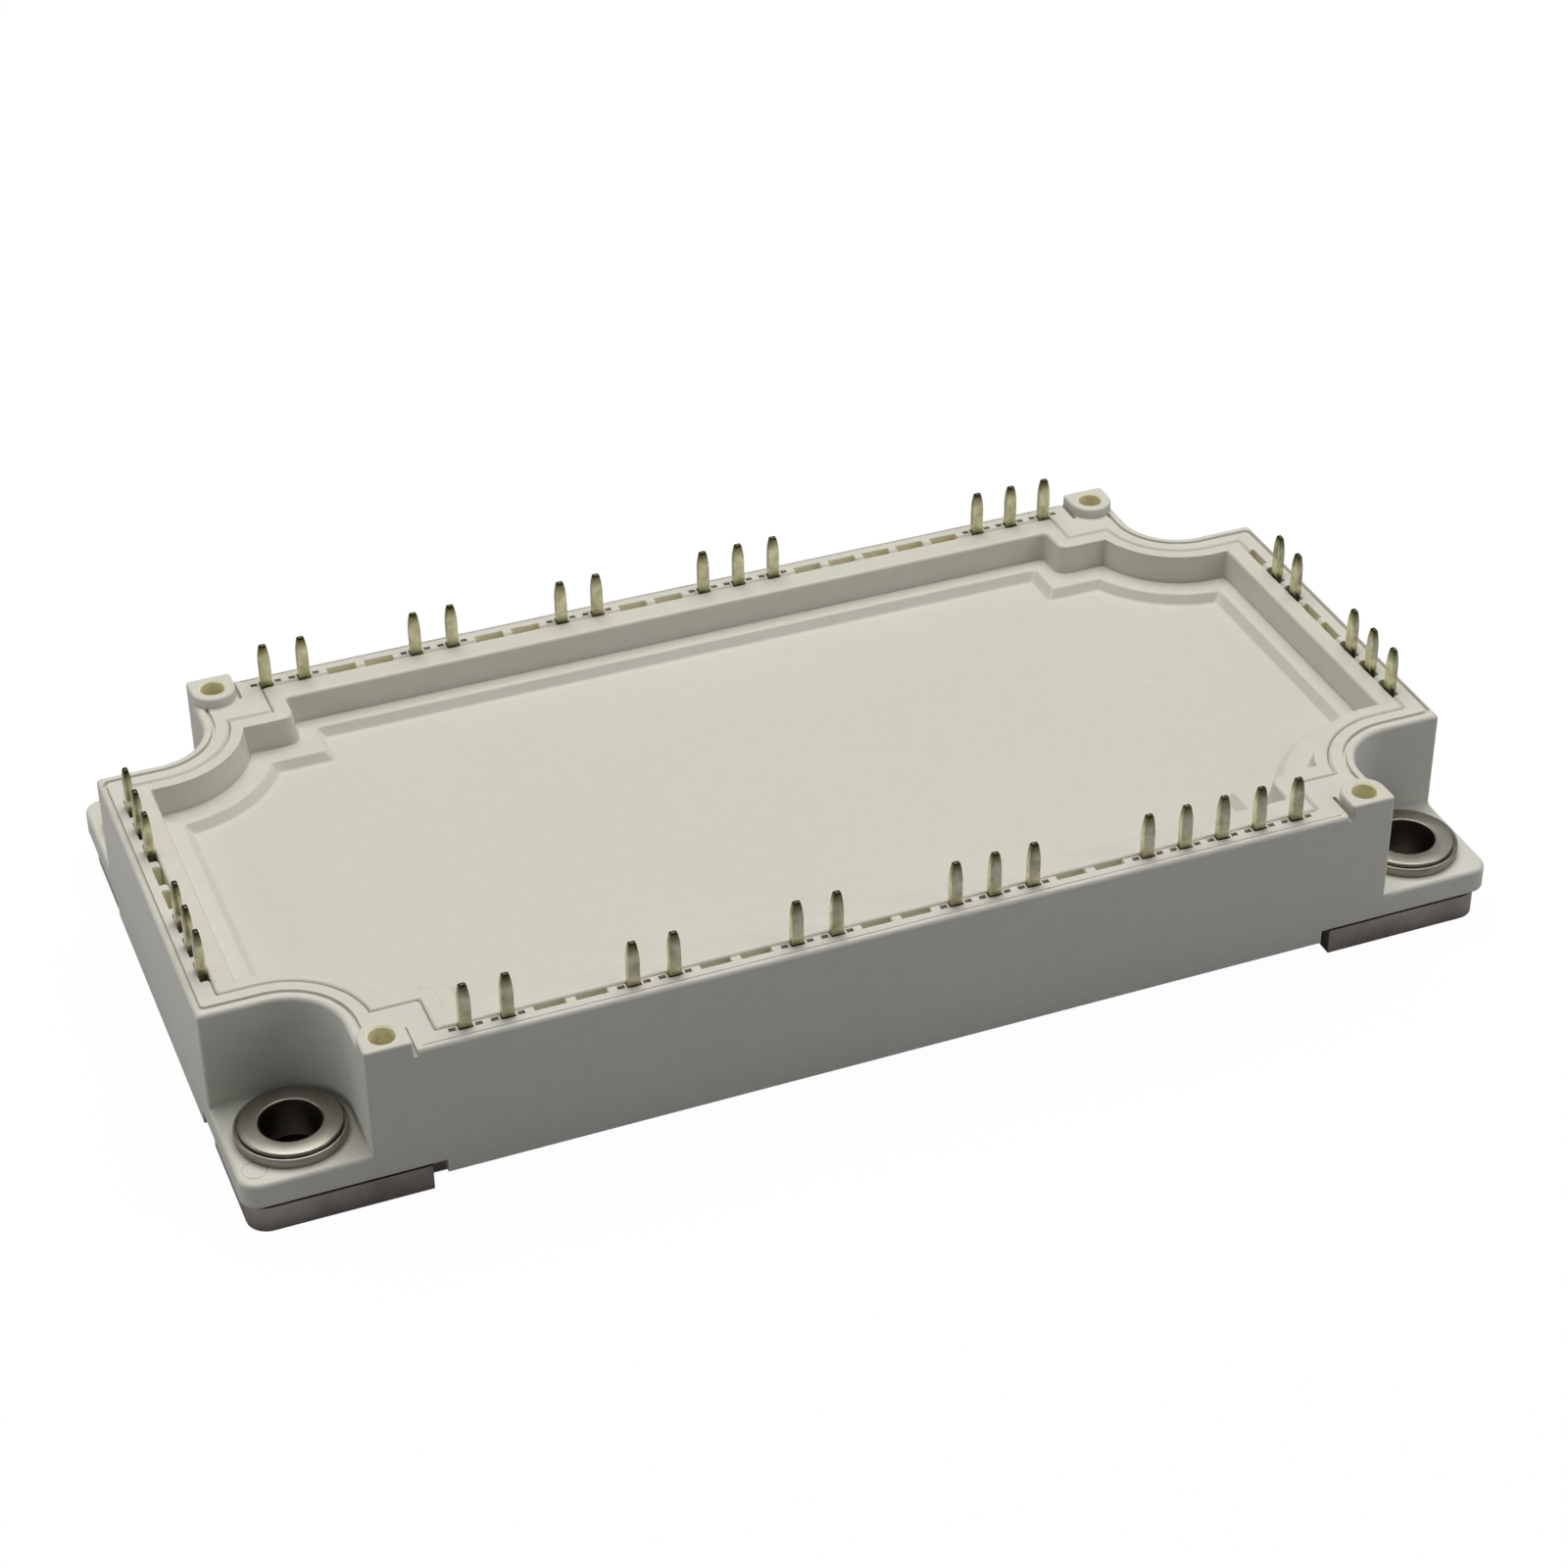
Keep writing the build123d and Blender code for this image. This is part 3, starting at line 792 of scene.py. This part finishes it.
def quarter_cutters(side_x, side_y):
    """Cutters of one quarter: hole of the tower, hole for the bushing, and notch beside the tower."""
    narrow, wide = tower_hole_radius, tower_hole_radius + tower_hole_chamfer
    tower_hole = round_mesh((side_x * tower_x, side_y * tower_y), [
        (narrow, tower_top - tower_hole_depth), (narrow, tower_top - tower_hole_chamfer),
        (wide, tower_top), (wide, tower_top + cutter_over)])
    sleeve_hole = round_mesh((side_x * hole_x, side_y * hole_y), [
        (sleeve_radius, plate_top - cutter_over), (sleeve_radius, lug_top + cutter_over)])
    edge = tower_x - tower_radius
    notch_x = sorted((side_x * (edge - notch_width), side_x * (edge + notch_bite)))
    notch_y = sorted((side_y * (house_y - notch_length), side_y * (house_y + cutter_over)))
    notch = box_mesh((notch_x[0], notch_y[0], wall_top - notch_depth),
                     (notch_x[1], notch_y[1], wall_top + notch_rise))
    return tower_hole, sleeve_hole, notch


def make_housing():
    """Frame's skin joined with its towers, less slots, notches, wells, grooves and holes."""
    skin = solid_mesh("skin", np.stack([ring_of_quarters(row) for row in housing_skin()]), over=True)
    skin.materials.append(housing_plastic)
    towers = joined("towers", [(tower_mesh(*side), 0) for side in quarters], [housing_plastic])
    body = combined(skin, towers, "UNION")
    slots, trims = comb_cutters()
    for side in quarters:
        tower_hole, sleeve_hole, notch = quarter_cutters(*side)
        slots.append(tower_hole)
        trims += [sleeve_hole, notch]
    ends, sides = groove_paths()
    trims += [groove_mesh(path, groove_width, groove_depth) for path in ends]
    trims += [groove_mesh(path, side_groove_width, side_groove_depth) for path in sides]
    trims.append(ring_cutter(mark_place, mark_radius, mark_width, mark_depth, lug_top))
    # walls of empty slots and tower holes take the paler plastic: painted light
    cutters = joined("cutters", [(mesh, 0) for mesh in trims] + [(mesh, 1) for mesh in slots],
                     [housing_plastic, painted_glow_plastic])
    body = combined(body, cutters, "DIFFERENCE")
    return as_piece("housing_skin", cleaned(body, merge=1e-3))


housing = make_housing()
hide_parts("housing_frame")


# Lid

def make_lid():
    """Lid as outlines carried through its section: outer wall, rim, recess wall, ledge, step and floor."""
    rows = [at_height(lid_quarter(lid_chamfer), lid_bottom),
            at_height(lid_quarter(), lid_bottom + lid_chamfer)]
    rows += [at_height(lid_quarter(lid_edge * out), wall_top - lid_edge * (1 - up))
             for out, up in quarter_round(fine_edge_steps)]
    rows += [at_height(recess_quarter(-rim_round * (1 - up)), wall_top - rim_round * out)
             for out, up in quarter_round(wide_edge_steps)]
    foot_groove = [(0, foot_groove_edge), (foot_groove_edge, -foot_groove_depth),
                   (foot_groove_bottom, -foot_groove_depth), (foot_groove_width, 0)]
    rows += [at_height(recess_quarter(recess_draft + run, recess_draft + run), recess_ledge_z + rise)
             for run, rise in foot_groove]
    # step to the floor as (run, share of the fall): a round nose, a slope and a soft foot
    floor_step = [
        (-ledge_nose, 0.0), (-ledge_nose / 3, -0.03), (0.06, -0.15), (floor_run * 0.7, -0.78),
        (floor_run * 0.95, -0.92), (floor_run * 1.3, -0.985), (floor_run * 1.8, -1.0),
    ]
    rows += [at_height(recess_quarter(ledge_width + run, ledge_corner_width + run, ledge_corner),
                       recess_ledge_z + (recess_ledge_z - floor_z) * share) for run, share in floor_step]
    skin = solid_mesh("lid", np.stack([ring_of_quarters(row) for row in rows]), caps=True)
    return as_piece("lid_shell", skin, [lid_plastic], sharp_angle=50.0)


lid = make_lid()
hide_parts("lid")


# Pins

def pin_mesh():
    """Pin in its row's own frame: a rounded rectangle carried down from its bullet tip and round a heel.

    Width at a distance s from the tip is tip + (full - tip) (1 - (1 - s / L)^2), rounded off at its nib.
    """
    bend_steps = 5
    shaft_mark = 9.0
    nib_marks = tip_nib * np.array([0.0, 0.12, 0.4, 1.0])
    s = np.concatenate([nib_marks, np.linspace(tip_nib, tip_length, 9)[1:], [shaft_mark]])
    share = 1 - (1 - np.clip(s / tip_length, 0, 1)) ** 2
    close = np.clip(1 - s / tip_nib, 0, 1) ** 2 * tip_nib
    width = tip_width + (pin_width - tip_width) * share - 2 * close
    thick = tip_thickness + (pin_thickness - tip_thickness) * share - 2 * close
    angle = np.radians(np.linspace(0, 90, bend_steps))
    centre_y = np.concatenate([np.zeros(len(s)), pin_bend * (1 - np.cos(angle)), [pin_reach]])
    centre_z = np.concatenate([pin_top - s, pin_foot_z + pin_bend * (1 - np.sin(angle)), [pin_foot_z]])
    tilt = np.concatenate([np.zeros(len(s)), angle, [math.pi / 2]])
    width = np.concatenate([width, np.full(bend_steps + 1, pin_width)])
    thick = np.concatenate([thick, np.full(bend_steps + 1, pin_thickness)])
    round_x, round_y = pin_round / pin_width, pin_round / pin_thickness
    corner = curve((0.5, 0.5 - round_y), (0.5, 0.5), (0.5 - round_x, 0.5), steps=4)
    half = np.concatenate([corner, corner[::-1] * (-1, 1)])
    section = np.concatenate([half, half * -1])
    x = section[:, 0] * width[:, None]
    out = section[:, 1] * thick[:, None]
    y = centre_y[:, None] + out * np.cos(tilt)[:, None]
    z = centre_z[:, None] + out * np.sin(tilt)[:, None]
    return solid_mesh("pin", np.stack([x, y, z], axis=-1), caps=True)


def make_pins():
    """One piece for each pin, turned into its row and set at its place."""
    model = pin_mesh()
    points = np.empty(len(model.vertices) * 3)
    model.vertices.foreach_get("co", points)
    points = points.reshape(-1, 3)
    for name in pins:
        row, number = name.split("_pin_")
        moved = points + (place_along(row, int(number)), -row_distance[row], 0)
        moved[:, :2] = turned(moved[:, :2], row_angle[row])
        mesh = model.copy()
        mesh.vertices.foreach_set("co", moved.ravel())
        piece = as_piece(f"{name}_tinned", mesh, [pin_tin])
        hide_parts(name)


make_pins()


# Bushings

def softened(profile, radii, steps=4, most=0.45):
    """Closed profile with each corner replaced by a quadratic arc, on at most a share of each side."""
    before, after = np.roll(profile, 1, axis=0), np.roll(profile, -1, axis=0)
    pieces = []
    for corner, last, following, radius in zip(profile, before, after, radii):
        to_last, to_next = last - corner, following - corner
        far_last, far_next = np.linalg.norm(to_last), np.linalg.norm(to_next)
        pieces.append(curve(corner + to_last / far_last * min(radius, most * far_last), corner,
                            corner + to_next / far_next * min(radius, most * far_next), steps))
    return np.concatenate(pieces)


def make_bushings():
    """Turned bushings: centre + (r cos a, r sin a, z) along a closed profile, with a map for turn lines."""
    groove_radius, groove_bottom = ring_radius + ring_groove_width, collar_top - ring_groove_depth
    # radius, height and edge radius of each corner
    corners = np.array([
        (bore_radius, plate_top, bore_edge), (sleeve_radius, plate_top, sleeve_edge),
        (sleeve_radius, lug_top, bore_edge), (collar_radius, lug_top, collar_edge),
        (collar_radius, collar_top, ring_edge), (groove_radius, collar_top, collar_edge),
        (groove_radius, groove_bottom, bore_edge), (ring_radius, groove_bottom, bore_edge),
        (ring_radius, ring_top, ring_edge), (bore_radius, ring_top, ring_edge),
    ])
    profile = softened(corners[:, :2], corners[:, 2])
    closed = np.concatenate([profile, profile[:1]])
    run = np.concatenate([[0], np.cumsum(np.linalg.norm(np.diff(closed, axis=0), axis=1))])
    segments = 96
    angle = np.linspace(0, 2 * np.pi, segments + 1)
    r, z = closed[:, 0, None], closed[:, 1, None]
    faces = grid_faces(len(closed), segments + 1, around=False)
    # one turn is 1 along U, and 10 mm of the profile are 1 along V
    uv = np.stack(np.broadcast_arrays(angle[None] / (2 * np.pi), run[:, None] / 10), axis=-1).reshape(-1, 2)
    # faces of the bore take the darker, browner nickel: painted shade
    bore_shade_reach = 0.05
    near_bore = closed[:, 0] < bore_radius + bore_shade_reach
    in_bore = (near_bore[:-1] & near_bore[1:]).astype(np.int32)
    meshes = []
    for side_x, side_y in quarters:
        points = np.stack(np.broadcast_arrays(
            side_x * hole_x + r * np.cos(angle), side_y * hole_y + r * np.sin(angle), z), axis=-1)
        mesh = bpy.data.meshes.new("bushing")
        mesh.from_pydata(points.reshape(-1, 3).tolist(), [], faces.tolist())
        mesh.uv_layers.new(name="turned").data.foreach_set("uv", uv[faces.ravel()].ravel())
        mesh.polygons.foreach_set("material_index", np.repeat(in_bore, segments))
        meshes.append((cleaned(mesh), None))
    bushings = joined("bushings", meshes, [bushing_nickel, shaded_bore_nickel])
    piece = as_piece("turned_bushings", bushings, sharp_angle=40.0)
    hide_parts("bushings")


make_bushings()


# Baseplate

def make_plate():
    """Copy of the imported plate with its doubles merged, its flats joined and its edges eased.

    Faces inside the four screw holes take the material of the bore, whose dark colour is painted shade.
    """
    flat_angle, edge_angle = math.radians(0.5), math.radians(60)
    mesh = nodes["baseplate"].data.copy()
    bm = bmesh.new()
    bm.from_mesh(mesh)
    bmesh.ops.scale(bm, vec=(1 / MM, 1 / MM, 1 / MM), verts=bm.verts)
    bmesh.ops.remove_doubles(bm, verts=bm.verts, dist=2e-3)
    bmesh.ops.dissolve_limit(bm, angle_limit=flat_angle, verts=bm.verts, edges=bm.edges)
    edges = [edge for edge in bm.edges if edge.is_manifold and edge.calc_face_angle() > edge_angle]
    bmesh.ops.bevel(bm, geom=edges, offset=plate_edge, segments=3, profile=0.5, affect="EDGES",
                    clamp_overlap=True)
    for face in bm.faces:
        x, y, z = face.calc_center_median()
        from_hole = math.hypot(abs(x) - hole_x, abs(y) - hole_y)
        face.material_index = int(from_hole < sleeve_radius and 0 < z < plate_top)
    bm.to_mesh(mesh)
    bm.free()
    piece = as_piece("plate_eased", mesh, [plate_nickel, shaded_plate_bore])
    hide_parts("baseplate")


make_plate()


# Camera

camera_place = Vector((-99.84, -255.98, 202.34)) * MM
camera_forward = Vector((0.30092, 0.76445, -0.57015))
camera_right = Vector((0.92842, -0.37144, -0.00801))
focal_pixels = 3564.28
picture_pixels = 1600
sensor_width = 36.0

camera_data = bpy.data.cameras.new("camera")
camera_data.sensor_width = sensor_width
camera_data.lens = sensor_width * focal_pixels / picture_pixels
camera_data.clip_start = 0.01
camera = bpy.data.objects.new("camera", camera_data)
forward = camera_forward.normalized()
right = (camera_right - forward * camera_right.dot(forward)).normalized()
turn = Matrix((right, right.cross(forward), -forward)).transposed()
camera.matrix_world = Matrix.Translation(camera_place) @ turn.to_4x4()
bpy.context.scene.collection.objects.link(camera)
bpy.context.scene.camera = camera


# Floor, light and background

def make_floor():
    """Pale floor: white to the camera, but for a small share of its own shading that keeps the shadow."""
    white_share, white_level = 0.93, 1.05
    half, below = 3.0, 0.02 * MM
    material, tree, output = new_material("pale_floor")
    ray = add(tree, "ShaderNodeLightPath")
    white = add(tree, "ShaderNodeEmission", Strength=white_level)
    plain = add(tree, "ShaderNodeBsdfDiffuse", Color=linear("#A3A3A6"))
    share = add(tree, "ShaderNodeMath", {0: ray.outputs["Is Camera Ray"]}, operation="MULTIPLY")
    share.inputs[1].default_value = white_share
    mix = add(tree, "ShaderNodeMixShader",
              {0: share.outputs["Value"], 1: plain.outputs["BSDF"], 2: white.outputs["Emission"]})
    tree.links.new(mix.outputs["Shader"], output.inputs["Surface"])
    mesh = bpy.data.meshes.new("floor")
    corners = [(half * side_x, half * side_y, 0) for side_x, side_y in quarters]
    mesh.from_pydata(corners, [], [(0, 1, 2, 3)])
    mesh.materials.append(material)
    floor = bpy.data.objects.new("floor", mesh)
    floor.location.z = -below
    bpy.context.scene.collection.objects.link(floor)


def soft_lamp(name, place, target, size, power, colour):
    """Area lamp that looks at a target, with its places and size in metres."""
    data = bpy.data.lights.new(name, "AREA")
    data.shape = "RECTANGLE"
    data.size, data.size_y = size
    data.energy = power
    data.color = linear(colour)[:3]
    lamp = bpy.data.objects.new(name, data)
    aim = Vector(target) - Vector(place)
    lamp.matrix_world = Matrix.Translation(place) @ aim.to_track_quat("-Z", "Y").to_matrix().to_4x4()
    bpy.context.scene.collection.objects.link(lamp)


def make_room():
    """World: a dim, cool room that lights the object, and plain white behind it for the camera."""
    world = bpy.data.worlds.new("soft_room")
    world.use_nodes = True
    tree = world.node_tree
    tree.nodes.clear()
    ray = add(tree, "ShaderNodeLightPath")
    room = add(tree, "ShaderNodeBackground", Color=linear("#F0F3FA"), Strength=0.15)
    backdrop = add(tree, "ShaderNodeBackground", Color=linear("#FFFFFF"), Strength=1.0)
    mix = add(tree, "ShaderNodeMixShader", {
        0: ray.outputs["Is Camera Ray"], 1: room.outputs["Background"], 2: backdrop.outputs["Background"]})
    add(tree, "ShaderNodeOutputWorld", {"Surface": mix.outputs["Shader"]})
    bpy.context.scene.world = world


make_floor()
soft_lamp("overhead", place=(0.09, 0.18, 0.60), target=(0, 0, 0), size=(0.6, 0.5), power=3.85,
          colour="#FFFEFA")
# close and low, so that it lights the outer left face and leaves the recess to the overhead lamp
soft_lamp("left_fill", place=(-0.19, 0.02, 0.05), target=(-0.061, 0, 0.008), size=(0.14, 0.06),
          power=0.062, colour="#FAFBFF")
soft_lamp("right_fill", place=(0.46, -0.33, 0.23), target=(0, 0, 0), size=(0.3, 0.3), power=0.62,
          colour="#F8F9FF")
make_room()
bpy.context.scene.view_settings.view_transform = "Standard"
